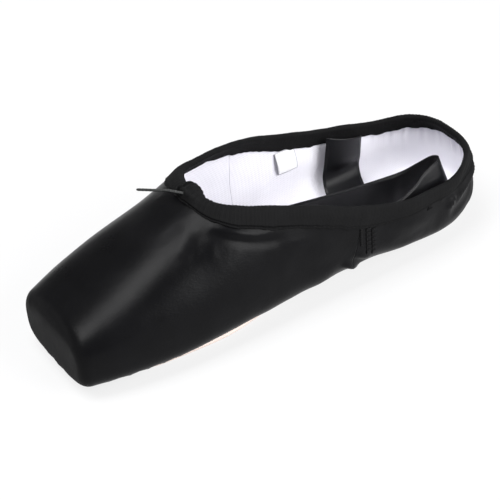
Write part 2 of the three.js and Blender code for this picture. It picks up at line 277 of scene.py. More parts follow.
cord_finish = Finish("waxed_cord", Roughness=0.62)
u, v, _ = cord_finish.place("UV")
along, round_cord = u * (2 * math.pi / (BRAID_PITCH * MM)), v * (4 / (CORD_DIAMETER * MM))
strand = (along + round_cord).sine() * (along - round_cord).sine()
shade = cord_finish.grain(900.0) * 0.5 + strand * 0.25 + 0.25
cord_finish.feed(cord_finish.shader, {
    "Base Color": cord_finish.blend(shade, rgb(20, 21, 21), rgb(52, 54, 53)),
})
cord_finish.relief(strand, 0.00012)

cord_line = smooth_curve(DRAWSTRING, 60)
braid = lambda u, a: 0.05 * np.sin(2 * math.pi * u / BRAID_PITCH + 2 * a)
drawstring = tube("drawstring_end", cord_line, CORD_DIAMETER / 2, CORD_SIDES, cord_finish,
                  braid)
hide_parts("drawstring")

# ---- Satin cover -------------------------------------------------------------------------------
# Black rayon satin lasted over the box, vamp and quarters in one, turned in under the sole and
# pleated there round the toe. It is cut along the collar, where the casing is sewn over its edge.
LENGTH = 240.0
HEEL_DOME = 36.0
HEEL_TIP_HEIGHT = 23.0
PLATFORM_ROUNDING = 5.0
LAST = np.array([
    # at, half width, low, high, belly, round top, round base
    (0, 29, 3.2, 34, 18, 2.9, 3.5),
    (22, 35, 3.1, 44, 19, 2.6, 3.4),
    (45, 38, 2.9, 54, 20, 2.4, 3.4),
    (70, 39, 2.9, 64.5, 21, 2.2, 3.0),
    (95, 38.5, 3.2, 76, 22, 2.2, 2.8),
    (125, 37.6, 5.4, 79, 24, 2.4, 2.8),
    (155, 37.3, 6.4, 84, 25, 2.6, 2.9),
    (180, 37.2, 4.6, 86, 24, 2.7, 3.3),
    (204, 34.6, 2.9, 82, 23, 2.7, 3.8),
    (224, 32.6, 2.9, 64, 23, 2.7, 3.9),
    (240, 31.5, 2.9, 48, 23, 2.7, 4.0),
])
CROWN = 14.0  # half width over which the collar's line changes from one side's to the other's
COLLAR = np.array([
    # at, height on the +X side, how much higher on the -X side
    (60, 86, 0), (80, 69.2, 0), (92, 66, -0.5), (108, 61.8, 3.5), (130, 55, 5),
    (155, 45, 5), (185, 37.8, 3.5), (210, 36.3, 0.6), (240, 41.5, 0),
])


def through(rows, column):
    """A smooth curve through one column of a table, which never overshoots its points."""
    x, y = rows[:, 0], rows[:, column]
    slope = np.diff(y) / np.diff(x)
    tangent = np.concatenate([[slope[0]], np.zeros(len(x) - 2), [slope[-1]]])
    product = slope[:-1] * slope[1:]
    rising = product > 0
    tangent[1:-1][rising] = 2 * product[rising] / (slope[:-1] + slope[1:])[rising]

    def value(at):
        t = np.clip(at, x[0], x[-1])
        i = np.clip(np.searchsorted(x, t) - 1, 0, len(x) - 2)
        span = x[i + 1] - x[i]
        s = (t - x[i]) / span
        return (y[i] * (1 + 2 * s) * (1 - s) ** 2 + y[i + 1] * s * s * (3 - 2 * s)
                + span * (tangent[i] * s * (1 - s) ** 2 - tangent[i + 1] * s * s * (1 - s)))
    return value


last = {name: through(LAST, i + 1)
        for i, name in enumerate(("half", "low", "high", "belly", "top", "base"))}
collar_height = through(COLLAR, 1)
collar_rise = through(COLLAR, 2)


def smoothly(a, b, value):
    t = np.clip((value - a) / (b - a), 0, 1)
    return t * t * (3 - 2 * t)


def section(at, inset=0.0, front=0.0, back=0.0):
    """The last's section at one place along it, moved in by inset."""
    rim = PLATFORM_ROUNDING
    rounding = rim - math.sqrt(rim ** 2 - (rim - min(at, rim)) ** 2)
    shrink = inset + rounding
    dome = max(0.0, (at - (LENGTH - HEEL_DOME)) / HEEL_DOME)
    left = math.sqrt(max(0.0, 1 - dome * dome))
    tip = HEEL_TIP_HEIGHT
    s = {name: float(curve(at)) for name, curve in last.items()}
    s["y"] = front + at / LENGTH * (LENGTH - front - back) - LENGTH / 2
    s["half"] = (s["half"] - shrink) * left ** 0.9
    s["low"] = tip - (tip - s["low"] - shrink) * left ** 0.35
    s["high"] = tip + (s["high"] - shrink - tip) * left ** 0.9
    return s


def section_points(s, turn):
    cos, sin = np.cos(turn * 2 * math.pi), np.sin(turn * 2 * math.pi)
    power = np.where(cos >= 0, 2 / s["top"], 2 / s["base"])
    reach = np.where(cos >= 0, s["high"] - s["belly"], s["belly"] - s["low"])
    x = s["half"] * np.sign(sin) * np.abs(sin) ** power
    z = s["belly"] + reach * np.sign(cos) * np.abs(cos) ** power
    return np.stack([x, np.full_like(x, s["y"]), z], axis=1)


def collar_turn(s, at, side):
    """How far round from the crown the collar's line crosses this section on one side."""
    line = float(collar_height(at)) + (float(collar_rise(at)) if side < 0 else 0.0)
    share = (line - s["belly"]) / max(1e-6, s["high"] - s["belly"])
    if share >= 1:
        return 0.0
    return math.acos(max(0.0, share) ** (s["top"] / 2)) / (2 * math.pi)


def last_ring(at, columns, inset=0.0, front=0.0, back=0.0):
    """One ring of points round the last, from the crown round the +X side and back."""
    s = section(at, inset, front, back)
    return evenly(section_points(s, np.linspace(0, 1, 1500)), columns)[:-1]


def last_stations(pitch):
    """Places along the last for rings: close together round the platform's edge and the heel."""
    edge = PLATFORM_ROUNDING * (1 - np.cos(np.linspace(0, math.pi / 2, 9)))
    middle = np.linspace(PLATFORM_ROUNDING, LENGTH - HEEL_DOME, int((LENGTH - HEEL_DOME) / pitch))
    heel = LENGTH - HEEL_DOME + HEEL_DOME * np.sin(np.linspace(0, math.pi / 2, 34))
    return np.concatenate([edge[:-1], middle[:-1], heel])


def last_form(columns, pitch, inset=lambda at: 0.0):
    """The whole last as a grid of points, from the middle of the platform to the heel's tip."""
    front, back = inset(0.0), inset(LENGTH)
    rings = [last_ring(at, columns, inset(at), front, back) for at in last_stations(pitch)]
    middle = np.array([0.0, rings[0][0, 1], float(last["belly"](0.0))])
    face = [middle + (rings[0] - middle) * share for share in np.linspace(0, 1, 10)[:-1]]
    return np.array(face + rings)


def normals_of(grid):
    """Outward directions of a grid of points on the last."""
    d_row = np.gradient(grid, axis=0)
    d_column = np.roll(grid, -1, axis=1) - np.roll(grid, 1, axis=1)
    return unit(np.cross(d_column, d_row))


def over_collar(points, raised=0.0):
    """How far each point stands above the collar's line."""
    at = points[:, 1] + LENGTH / 2
    line = collar_height(at) + collar_rise(at) * smoothly(CROWN, -CROWN, points[:, 0])
    return np.where(at < COLLAR[0, 0], -1.0, points[:, 2] - line - raised)


def last_piece(name, grid, finish, raised):
    """A piece from a grid on the last, cut off along the collar's line raised by so much."""
    piece = piece_from_grid(name, grid, finish)
    cut = bmesh.new()
    cut.from_mesh(piece.data)
    places = np.array([v.co for v in cut.verts]) / MM
    over = over_collar(places, raised)
    height = {v: h for v, h in zip(cut.verts, over)}
    new = []
    for edge in list(cut.edges):
        a, b = edge.verts
        if height[a] * height[b] < 0:
            _, vertex = bmesh.utils.edge_split(edge, a, height[a] / (height[a] - height[b]))
            height[vertex] = 0.0
            new.append(vertex)
    bmesh.ops.connect_verts(cut, verts=new)
    gone = [f for f in cut.faces if sum(height[v] for v in f.verts) > 0]
    bmesh.ops.delete(cut, geom=gone, context="FACES")
    bmesh.ops.dissolve_degenerate(cut, edges=cut.edges, dist=2e-5)
    cut.to_mesh(piece.data)
    cut.free()
    piece.data.shade_smooth()
    return piece


CLOTH = 0.2  # thickness of the satin and of the cotton


def give_wall(piece, side):
    """Gives a sheet its thickness, on its outer side for 1 and on its inner side for -1."""
    bpy.context.view_layer.objects.active = piece
    cloth_wall = piece.modifiers.new("cloth", "SOLIDIFY")
    cloth_wall.thickness = CLOTH * MM
    cloth_wall.offset = side
    bpy.ops.object.modifier_apply(modifier=cloth_wall.name)


# Soft folds: the points that each follows on the surface, how wide it is and how high; a
# negative height is a trough.
FOLDS = [
    # under the casing at the throat, where the gathered satin stands in a ridge
    ([(20, -43, 62), (26, -38, 60), (30, -31.5, 57.5), (32.5, -24, 55), (33.8, -15, 53.5)],
     2.0, 1.2),
    ([(23, -44, 59), (28.5, -37, 57), (32, -30, 54), (34.5, -21, 51), (36, -10, 48)], 2.4, -0.8),
    ([(14, -51, 63), (19, -55, 59), (23, -62, 53)], 2.6, 0.35),
    ([(20, -49, 61), (25, -52, 56), (28, -58, 50)], 2.2, -0.4),
    ([(10, -52, 64.5), (12, -58, 62), (14, -66, 58)], 3.0, -0.25),
    ([(24, -46, 59), (28, -46, 55), (31, -48, 50)], 2.0, 0.35),
    ([(33, -14, 46), (35, -4, 44), (36.5, 6, 41)], 2.4, 0.5),
    # the top edge of the platform, worn round
    ([(-21, -119, 28), (-12, -119.6, 32.5), (0, -119.8, 33.5), (12, -119.6, 32.5),
      (21, -119, 28)], 4.0, -1.1),
    # round the back of the heel
    ([(20, 110, 38.5), (25.8, 104, 37), (29.3, 99.4, 35), (31.5, 96, 32), (32.8, 92.5, 30),
      (34, 88, 29), (34.6, 82.7, 30)], 1.7, -2.6),
    ([(12, 117, 34), (20, 113, 32), (26, 106, 30), (30, 100, 27.5), (32.5, 93.5, 25)], 2.6, 2.6),
    ([(22, 110, 23), (28, 104, 20.5), (31.5, 96, 19), (33.5, 88, 17)], 2.0, -1.8),
    ([(33.4, 92, 27), (34, 89, 24), (34.3, 86, 21)], 1.5, 1.6),
    ([(31, 99, 31), (32.5, 95, 27), (33.8, 91, 22)], 1.2, -1.2),
    ([(12, 117, 22), (20, 113.5, 16), (27, 106, 12)], 2.6, 0.9),
    ([(6, 120, 38), (14, 117.5, 35.5), (20, 113.5, 32), (24, 109.5, 27)], 1.6, -1.6),
    ([(4, 120, 33), (11, 118.5, 29), (17, 115.5, 24)], 1.8, 1.1),
    # the side seams' lower ends, gathered up above the sole
    ([(36.8, 20, 20), (36.2, 23.5, 17), (35, 27, 14.5), (33.4, 31, 12)], 1.7, 1.9),
    ([(37, 25, 21), (36.4, 29, 18), (35.4, 33, 15)], 1.3, -0.8),
    ([(37.2, 28.5, 22), (36.8, 32.5, 19), (36, 37, 16)], 1.3, 0.7),
    ([(-36.6, 25, 19.5), (-35.6, 29, 16), (-34.2, 33.5, 13.5), (-33, 37, 12)], 2.2, 1.6),
    ([(34, 80, 14), (36, 66, 17), (37, 54, 20)], 5.0, -0.6),
    # the same, on the other side
    ([(-12, 118, 31), (-22, 113, 25), (-29, 104, 20)], 3.0, -0.8),
    ([(-5, 119.5, 27), (-15, 117.5, 21), (-24, 112, 16)], 3.6, 0.9),
    ([(-31, 94, 30), (-35, 82, 25), (-37, 70, 23)], 3.0, 0.5),
    ([(-12, -50, 63), (-20, -42, 59), (-27, -32, 55)], 3.0, -0.6),
    # the near quarter, where it sags behind the side seam
    ([(36.6, 44, 32), (36.4, 56, 27), (35.6, 68, 24), (34.6, 78, 23)], 3.4, 0.45),
    ([(36.4, 50, 20), (35.8, 60, 17), (34.6, 72, 15)], 3.0, -0.4),
    # across the waist, where the quarter bends over the arch
    ([(33, 18, 10), (36, 22, 18), (37, 26, 27)], 5.0, -0.5),
    ([(31, 6, 7), (35, 8, 14), (37, 10, 24)], 6.0, 0.5),
    ([(-33, 18, 10), (-36, 22, 18), (-37, 26, 27)], 5.0, -0.5),
]
FOLD_STEPS = 40


def fold_heights(points):
    """How far the folds raise each of the points."""
    raised = np.zeros(len(points))
    for path, width, height in FOLDS:
        line = smooth_curve(path, FOLD_STEPS)
        near = np.where(np.abs(points - line.mean(axis=0)).max(axis=1)
                        < np.abs(line - line.mean(axis=0)).max() + 3 * width)[0]
        apart = np.linalg.norm(points[near, None, :] - line[None, :, :], axis=2)
        nearest = apart.argmin(axis=1)
        ends = np.sin(math.pi * np.clip(nearest / FOLD_STEPS, 0, 1)) ** 0.7
        raised[near] += height * ends * np.exp(-(apart.min(axis=1) / width) ** 2)
    return raised


TOE_MIDDLE = -78.0  # along the foot: the pleats fan out from here


def pleat_heights(points):
    """The fan of small pleats under the toe, where the satin is turned in to the sole."""
    x, y, z = points[:, 0], points[:, 1] - TOE_MIDDLE, points[:, 2]
    angle = np.arctan2(x, -y)
    reach = np.hypot(x, y)
    there = smoothly(16, 20, reach) * smoothly(46, 36, reach) * smoothly(10.5, 5, z)
    return there * smoothly(2.1, 1.6, np.abs(angle)) * (0.55 * np.sin(angle * 26) ** 3 - 0.1)


def unevenness(points, size, height):
    """A slow soft waviness of the cloth."""
    wave = [noise.noise(Vector((p / size).tolist())) for p in points]
    return height * np.array(wave)


DEEPEST = 0.7  # no trough reaches the lining
LOWEST = 2.7  # the satin lies on the sole's upper face
SIDE_SEAM = ((22.5, 7.0), (31.0, 36.0))  # its foot and its top: along the foot and height
satin_columns = 190
satin_grid = last_form(satin_columns, 1.3)
satin_normals = normals_of(satin_grid)
flat = satin_grid.reshape(-1, 3)
soft = smoothly(-70, -20, flat[:, 1])  # the pasted box is smooth, the quarters are soft
satin_rise = (fold_heights(flat) + pleat_heights(flat)
              + unevenness(flat, 17.0, 0.4) * (0.4 + 0.6 * soft)
              + unevenness(flat + 500, 7.5, 0.12) * (0.2 + 0.8 * soft))
satin_rise = np.maximum(satin_rise, -DEEPEST)
satin_shape = flat + satin_normals.reshape(-1, 3) * satin_rise[:, None]
satin_shape[:, 2] = np.maximum(satin_shape[:, 2], LOWEST)
satin_shape = satin_shape.reshape(satin_grid.shape)

satin = Finish("satin", Specular_IOR_Level=0.075)
x, y, z = satin.place()
threads = satin.vector(x, y * 0.25, z)
weave = satin.grain(2600.0, 1.0, threads)
blotch = satin.grain(55.0, 3.0)
fine = satin.grain(420.0, 2.0)
rubbed = y.inside(-0.1185, 0.004)  # the platform's face
rumpled = (0.108 - y).inside(0.0, 0.02)  # where the drawstring gathers the heel
back_seam = x.size().inside(0.0002, 0.0003) * y.maths("GREATER_THAN", y, 0.1)
(foot_y, foot_z), (top_y, top_z) = SIDE_SEAM
seam_slope = (top_y - foot_y) / (top_z - foot_z)
side_seam = (y - foot_y * MM - (z - foot_z * MM) * seam_slope).size().inside(0.0002, 0.0003)
side_seam = side_seam * x.maths("GREATER_THAN", x.size(), 0.02)
satin.feed(satin.shader, {
    "Base Color": satin.blend(blotch, rgb(8, 8, 9), rgb(15, 15, 17)),
    "Roughness": 0.19 + blotch * 0.2 + fine * 0.05 + rubbed * 0.32 + rumpled * 0.25,
})
satin.relief(weave * 0.25 + fine * 0.2 + blotch * 0.8 - (back_seam + side_seam) * 1.4, 0.00022)
cover = last_piece("satin_cover", satin_shape, satin, -0.2)
give_wall(cover, -1)


def tree_of(grid):
    """Something to look up the nearest point of a grid in, with its outward direction."""
    corners = [corners for _, corners in ring_cells(*grid.shape[:2])]
    return BVHTree.FromPolygons([tuple(p) for p in grid.reshape(-1, 3)], corners)


satin_tree = tree_of(satin_shape)

# ---- Cotton lining -----------------------------------------------------------------------------
# White cotton drill inside the whole shoe. It lies on the pasted box at the toe and on the satin
# behind it, and the drawstring gathers it round the heel. Each side has one seam by the instep.
BOX_WALL = 4.2
QUARTER_WALL = 1.4
BOX_END = 60.0
WING_END = 104.0
EDGE_WALL = 1.1  # at the collar nothing is pasted, so satin and cotton lie together
LOOSEST = 0.15  # how far the cotton may stand out toward the satin
HEEL_MIDDLE = 84.0  # along the foot: the gathers fan out from here


def wall(at):
    return BOX_WALL + (QUARTER_WALL - BOX_WALL) * float(smoothly(BOX_END, WING_END, at))


lining_columns = 170
lining_grid = last_form(lining_columns, 1.6, wall)
lining_normals = normals_of(lining_grid)
flat = lining_grid.reshape(-1, 3)
heel_angle = np.arctan2(flat[:, 0], flat[:, 1] - HEEL_MIDDLE)
line_height = np.array([float(collar_height(at)) for at in flat[:, 1] + LENGTH / 2])
gathers = (smoothly(84, 100, flat[:, 1]) * smoothly(14, 34, flat[:, 2])
           * smoothly(4.0, 7.0, line_height - flat[:, 2])
           * (0.45 * np.sin(heel_angle * 31) + 0.3 * np.sin(heel_angle * 53 + 1.3)))
edge_near = smoothly(16, 2, line_height - flat[:, 2]) * smoothly(62, 78, flat[:, 1] + LENGTH / 2)
thinner = np.array([wall(at) - EDGE_WALL for at in np.clip(flat[:, 1] + LENGTH / 2, 0, LENGTH)])
lining_rise = (gathers * (1 + smoothly(24, 38, flat[:, 2])) - 0.2
               + unevenness(flat, 14.0, 0.5) * smoothly(-60, -20, flat[:, 1]))
lining_rise = (np.minimum(lining_rise, LOOSEST) * (1 - edge_near)
               + edge_near * np.maximum(thinner, 0))
lining_shape = flat + lining_normals.reshape(-1, 3) * lining_rise[:, None]
lining_shape = lining_shape.reshape(lining_grid.shape)

cotton = Finish("white_cotton", Roughness=0.92, Specular_IOR_Level=0.25, Sheen_Weight=0.15)
x, y, z = cotton.place()
twill = ((y * 5200.0 + z * 5200.0).sine() + (x * 5200.0 + y * 3000.0).sine() * 0.5) * 0.25 + 0.5
soft_shade = cotton.grain(38.0, 3.0)
seam_apart = (y - 0.0022 + (z - 0.04) * 0.05).size()
seam = seam_apart.inside(0.0001, 0.0003) * (0.013 - z).inside(0.0, 0.002) * 0.6
# Fine gathers round the heel below the casing: their troughs dent the cotton's relief and are
# painted darker as shade.
round_heel = x.maths("ARCTAN2", x, y - HEEL_MIDDLE * MM)
pucker_dents_and_shade = ((round_heel * 38.0).sine() + (round_heel * 61.0 + 1.3).sine() * 0.6) * 0.3 + 0.5
pucker_dents_and_shade = pucker_dents_and_shade * (0.098 - y).inside(0.0, 0.014) * (0.034 - z).inside(0.0, 0.012)
cotton.feed(cotton.shader, {
    "Base Color": cotton.blend(soft_shade * 0.7 + seam * 0.5 + pucker_dents_and_shade * 0.6,
                               rgb(243, 242, 248), rgb(205, 203, 214)),
})
cotton.relief(twill * 0.5 + soft_shade * 0.8 - seam * 1.4 - pucker_dents_and_shade * 2.4, 0.00025)
lining = last_piece("cotton_lining", lining_shape, cotton, -2.0)
give_wall(lining, 1)
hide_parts("upper")

lining_tree = tree_of(lining_shape)

# ---- Collar casing -----------------------------------------------------------------------------
# Matte cotton tape folded over the collar's edge and stitched down outside and inside, with the
# drawstring running in the fold. The cord gathers it into fine ribs. Its ends meet at the throat.
CASING_OUTSIDE = 8.8
CASING_INSIDE = 7.3
CASING_THROAT = 5.6  # both are narrower where the ends meet
CASING_HEEL = 6.0  # and round the heel
TAPE = 0.55  # thickness of the tape
TAPE_LIFT = 0.25  # between the satin and the tape
RIB_PITCH = 1.9


def collar_loop(inset, count):
    """Points of the collar's edge, from the throat along the +X side and back again, evenly
    spaced."""
    def crown_over(at):
        return section(at, inset)["high"] - float(collar_height(at))

    def crossing(a, b):
        over = crown_over(a) > 0
        for _ in range(40):
            middle = (a + b) / 2
            if (crown_over(middle) > 0) == over:
                a = middle
            else:
                b = middle
        return a
    # the line meets the crown once at the throat and once at the heel
    throat, back = crossing(60.0, 100.0), crossing(210.0, LENGTH - 0.01)
    loop = []
    for angle in np.linspace(0, 2 * math.pi, 1201):
        at = throat + (back - throat) * (1 - math.cos(angle)) / 2
        side = -1 if math.sin(angle) < 0 else 1
        s = section(at, inset)
        loop.append(section_points(s, np.array([side * collar_turn(s, at, side)]))[0])
    return evenly(np.array(loop), count)


def walk_down(tree, start, tangent, steps, stride):
    """From a point of the edge, points down the surface, one stride apart, and its outward
    direction at each."""
    spot, outward, _, _ = tree.find_nearest(Vector(start))
    way = Vector(tangent).cross(outward)
    places, directions = [], []
    for _ in range(steps + 1):
        places.append(np.array(spot))
        directions.append(np.array(outward))
        way = (way - way.dot(outward) * outward).normalized()
        spot, outward, _, _ = tree.find_nearest(spot + way * stride)
    return places, directions


def loop_smoothed(values, reach):
    """A running mean round the loop, which takes the facets out of the directions."""
    kernel = np.hanning(2 * reach + 3)[1:-1]
    kernel /= kernel.sum()
    padded = np.concatenate([values[-reach:], values, values[:reach]])
    return np.apply_along_axis(lambda c: np.convolve(c, kernel, mode="valid"), 0, padded)


loop_count = 860
outer_loop = collar_loop(0.0, loop_count)[:-1]
inner_loop = collar_loop(EDGE_WALL, loop_count)[:-1]
loop_length = length_of(np.vstack([outer_loop, outer_loop[:1]]))
tangents = unit(np.roll(outer_loop, -1, axis=0) - np.roll(outer_loop, 1, axis=0))
tangents = loop_smoothed(tangents, 6)
OUT_STEPS, OVER_STEPS, IN_STEPS = 11, 11, 9  # down the outside, over the edge, down inside
out_places, out_ways, in_places, in_ways = [], [], [], []
for i, tangent in enumerate(tangents):
    throat = math.exp(-(min(i, loop_count - i) / loop_count * loop_length / 19.0) ** 2)
    heel = float(smoothly(42, 76, outer_loop[i][1]))
    for tree, start, width, steps, all_places, all_ways in (
            (satin_tree, outer_loop[i], CASING_OUTSIDE, OUT_STEPS, out_places, out_ways),
            (lining_tree, inner_loop[i], CASING_INSIDE, IN_STEPS, in_places, in_ways)):
        width += (CASING_THROAT - width) * throat + (CASING_HEEL - width) * heel
        places, ways = walk_down(tree, start, tangent, steps, width / steps)
        all_places.append(places)
        all_ways.append(ways)
out_places = loop_smoothed(np.array(out_places), 3)
out_ways = unit(loop_smoothed(np.array(out_ways), 5))
in_places = loop_smoothed(np.array(in_places), 3)
in_ways = -unit(loop_smoothed(np.array(in_ways), 5))

position = np.arange(loop_count) / loop_count * loop_length  # along the loop, from the throat
from_throat = np.minimum(position, loop_length - position)
gathered = (0.15 + 0.6 * np.exp(-(from_throat / 26.0) ** 2)  # most round the throat,
            + 0.3 * np.exp(-((loop_length / 2 - from_throat) / 40.0) ** 2)  # some at the heel,
            + 0.6 * np.exp(-((position - 34.0) / 9.0) ** 2))  # and once along the +X side


def wavering(pitch, kind):
    """A slow random wave along the loop, different for each kind."""
    return np.array([noise.noise(Vector((p / pitch, kind, 0.0))) for p in position])


ribs = (0.16 * gathered * np.sin(2 * math.pi * position / RIB_PITCH + 5.0 * wavering(9.0, 3.1))
        + 0.10 * wavering(3.1, 7.7))
puffs = 0.5 * wavering(11.0, 1.3)  # of the fold over the drawstring
scallops = 0.8 * wavering(7.0, 12.3) + 0.5 * wavering(3.3, 15.9)  # of both lower edges

# At the throat the fold's end stands open on the +X side, a raised mouth that the drawstring
# comes out of. The other end runs on beneath it.
LAPPED = 5  # steps of the loop by which the open end passes the middle
UNDERLAP = 9  # steps by which the other end goes on beneath it
STITCH_LINE = 0.88  # share of the way down each side of the casing


def groove(depth):
    """How deep the row of stitches pulls the tape in, 0 to 1, at one share of the way down."""
    return math.exp(-((depth - STITCH_LINE) / 0.07) ** 2)


def tape_ring(i, lift, shrink, mouth, tucked, pucker):
    """The tape's cross-section at one place along the loop: up the outside, over, down inside."""
    outward, inward = out_ways[i], in_ways[i]
    up = unit(np.cross(outward[0], tangents[i]))
    worked = 0.22 + 0.45 * math.exp(-(from_throat[i] / 38.0) ** 2)
    ring = []
    for k in range(OUT_STEPS, -1, -1):
        depth = k / OUT_STEPS
        bulge = 0.35 * math.exp(-((depth - 0.25) / 0.25) ** 2)
        height = lift + (ribs[i] * (1 - 0.6 * groove(depth)) + bulge
                         - worked * groove(depth)) * shrink
        height += pucker * math.sin(math.pi * min(1.0, depth * 1.1 + 0.1))
        height += mouth * (0.9 + 2.3 * math.exp(-((depth - 0.3) / 0.36) ** 2))
        height -= 0.25 * tucked * (1 - depth)
        slip = scallops[i] * depth ** 3 * unit(out_places[i][-1] - out_places[i][-2])
        ring.append(out_places[i][k] + outward[k] * height + slip)
    inner_edge = in_places[i][0] + inward[0] * (lift + (0.3 + ribs[i]) * shrink + 1.2 * mouth)
    a, b = ring[-1], inner_edge
    centre, reach = (a + b) / 2, (a - b) / 2
    top = (1.15 + ribs[i] + puffs[i]) * shrink + lift + 2.2 * mouth + pucker - 0.5 * tucked
    for share in np.linspace(0, 1, OVER_STEPS + 2)[1:-1]:
        angle = share * math.pi
        raise_by = top * math.sin(angle) ** 0.8
        ring.append(centre + reach * math.cos(angle) + up * raise_by)
    ring.append(b)
    for k in range(1, IN_STEPS + 1):
        depth = k / IN_STEPS
        height = lift + (ribs[i] * 0.7 + 0.2 * (1 - depth) - 0.2 * groove(depth)) * shrink
        height += 0.9 * mouth
        slip = 1.3 * scallops[i] * depth ** 3 * unit(in_places[i][-1] - in_places[i][-2])
        ring.append(in_places[i][k] + inward[k] * height + slip)
    return ring


order = []
tape_rows = []
for step in range(-LAPPED, loop_count + UNDERLAP):
    i = step % loop_count
    along = step / loop_count * loop_length
    mouth = float(smoothly(11.0, 2.0, along))
    tucked = math.exp(-(max(0.0, loop_length - along) / 6.0) ** 2)
    pucker = 0.5 * math.exp(-((along - 3) / 9.0) ** 2) * math.sin(2 * math.pi * along / 2.7)
    outer = tape_ring(i, TAPE_LIFT + TAPE, 1.0, mouth, tucked, pucker)
    inner = tape_ring(i, TAPE_LIFT, 0.8, mouth, tucked, pucker)
    order.append(i)
    tape_rows.append(outer + inner[::-1])
tape_rows = np.array(tape_rows)

RIB, WALE = 0.75, 0.6  # pitches of the weave, along the tape and across it
ACROSS = 0.8  # of the tape's map, from one line of points to the next
SEAM_AT = (1 - STITCH_LINE) * OUT_STEPS * ACROSS
tape = Finish("casing_tape", Roughness=0.85, Specular_IOR_Level=0.12)
u, v, _ = tape.place("UV")
cross_ribs = (u * (2 * math.pi / (RIB * MM))).sine() * 0.5 + 0.5
wales = (v * (2 * math.pi / (WALE * MM))).sine() * 0.5 + 0.5
worn = tape.grain(140.0, 3.0)
# Along the outside row of stitches the tape sinks in a groove, and the groove is painted near
# black as shade, most strongly near the throat on the +X side.
stitch_groove_and_shade = (v - SEAM_AT * MM).size().inside(0.0002, 0.0005)
stitch_groove_and_shade = stitch_groove_and_shade * (0.3 + u.inside(0.05, 0.03) * 0.7)
# A dark band across the tape just behind its open end at the throat: painted shadow along the
# raised end's edge.
open_end_shadow = (u + 0.0012).size().inside(0.0003, 0.0004) * 0.8
cloth = tape.blend(worn * 0.8 + cross_ribs * 0.2, rgb(10, 10, 11), rgb(18, 18, 19))
# The Base Color goes toward near black in the stitch groove and at the open end's edge: painted
# shade and painted shadow.
tape.feed(tape.shader, {
    "Base Color": tape.blend(stitch_groove_and_shade + open_end_shadow, cloth, rgb(2, 2, 3)),
})
tape.relief(cross_ribs * 0.4 + wales * 0.2 + worn * 0.6 - stitch_groove_and_shade * 2.0, 0.0002)
tape_uv = lambda r, c: ((r - LAPPED) / loop_count * loop_length * MM, c * ACROSS * MM)
casing = piece_from_grid("collar_tape", tape_rows, tape, caps=True, uv=tape_uv)
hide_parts("collar_casing")

# ---- Casing stitches ---------------------------------------------------------------------------
# Lockstitches in black cotton along both lower edges of the casing, one modelled and copied.
STITCH_LENGTH = 1.9
STITCH_STEP = 2.6
THREAD = 0.3
THREAD_LIFT = 0.06  # of a stitch's middle over the tape

# one stitch is a small spindle, a unit long and a unit thick
bpy.ops.mesh.primitive_uv_sphere_add(segments=8, ring_count=6, radius=0.5)
seed = bpy.context.active_object
seed_mesh = seed.data
stitch_points = [(-v.co.z, v.co.y, v.co.x) for v in seed_mesh.vertices]  # its poles along x
stitch_faces = [tuple(f.vertices) for f in seed_mesh.polygons]
bpy.data.objects.remove(seed)
bpy.data.meshes.remove(seed_mesh)


def row_of_stitches(name, ends, normals, finish, thickness=THREAD):
    """Copies of the stitch, each between two points, lying on a surface."""
    vertices, faces = [], []
    for (a, b), normal in zip(ends, normals):
        a, b = np.array(a, float), np.array(b, float)
        along = b - a
        side = unit(np.cross(normal, along)) * thickness
        lift = unit(np.cross(along, side)) * thickness
        start = len(vertices)
        middle = (a + b) / 2
        for x, y, z in stitch_points:
            vertices.append(middle + along * x + side * y + lift * z)
        faces += [tuple(start + i for i in face) for face in stitch_faces]
    mesh = bpy.data.meshes.new(name)
    mesh.from_pydata((np.array(vertices) * MM).tolist(), [], faces)
    return finished(name, mesh, finish)


thread = Finish("black_thread", Roughness=0.75, Specular_IOR_Level=0.15)
fuzz = thread.grain(1500.0)
thread.feed(thread.shader, {"Base Color": thread.blend(fuzz, rgb(5, 5, 6), rgb(13, 13, 14))})
thread.relief(fuzz, 0.0001)


def stitches_along(line, normals, step, length):
    """Pairs of ends for stitches along a line of points, with the surface's direction at each."""
    total = length_of(line)
    count = int(total / step)
    steps = count * 8
    even = evenly(np.hstack([line, normals]), steps)
    ends, ways = [], []
    reach = max(1, int(round(length / total * steps / 2)))
    for i in range(count):
        m = i * 8 + 4
        a, b = max(0, m - reach), min(steps, m + reach)
        way = unit(even[m, 3:])
        ends.append((even[a, :3] + way * THREAD_LIFT, even[b, :3] + way * THREAD_LIFT))
        ways.append(way)
    return ends, ways


outer_step, inner_step = round(STITCH_LINE * OUT_STEPS), round(STITCH_LINE * IN_STEPS)
for name, column, normals in (
        ("casing_stitches_outside", OUT_STEPS - outer_step, out_ways[order, outer_step]),
        ("casing_stitches_inside", OUT_STEPS + OVER_STEPS + 1 + inner_step,
         in_ways[order, inner_step])):
    ends, ways = stitches_along(tape_rows[:, column], normals, STITCH_STEP, STITCH_LENGTH)
    row_of_stitches(name, ends, ways, thread)

# ---- Quarter stitching -------------------------------------------------------------------------
# The ribbon is sewn on inside each quarter behind its slanted side seam, in black thread that
# shows outside: one close zigzag row and two open ladders, and further back a small cross.
SEAM_ROW = (30.8, 38.0, 26.0)  # the close row: along the foot, its top and its foot
SEAM_STEP, SEAM_WIDTH = 0.7, 1.7
LADDER_COLUMNS = ((34.0, 35.4), (37.4, 33.6))  # the open rows: along the foot, and their top
LADDER_STEP, LADDER_WIDTH, LADDER_FOOT = 2.6, 2.5, 17.5
SLOPE = -0.42  # of the rungs, toward the heel
CROSS = (73.4, 30.6)  # along the foot and height
CROSS_ARM, CROSS_BORDER = 1.7, 1.9  # half its size, and half that of the rows over and under it
SEWN_THREAD, CROSS_THREAD = 0.95, 0.6  # thicknesses; the rows are sewn double
SEWN_LIFT = 0.1  # of these threads over the satin


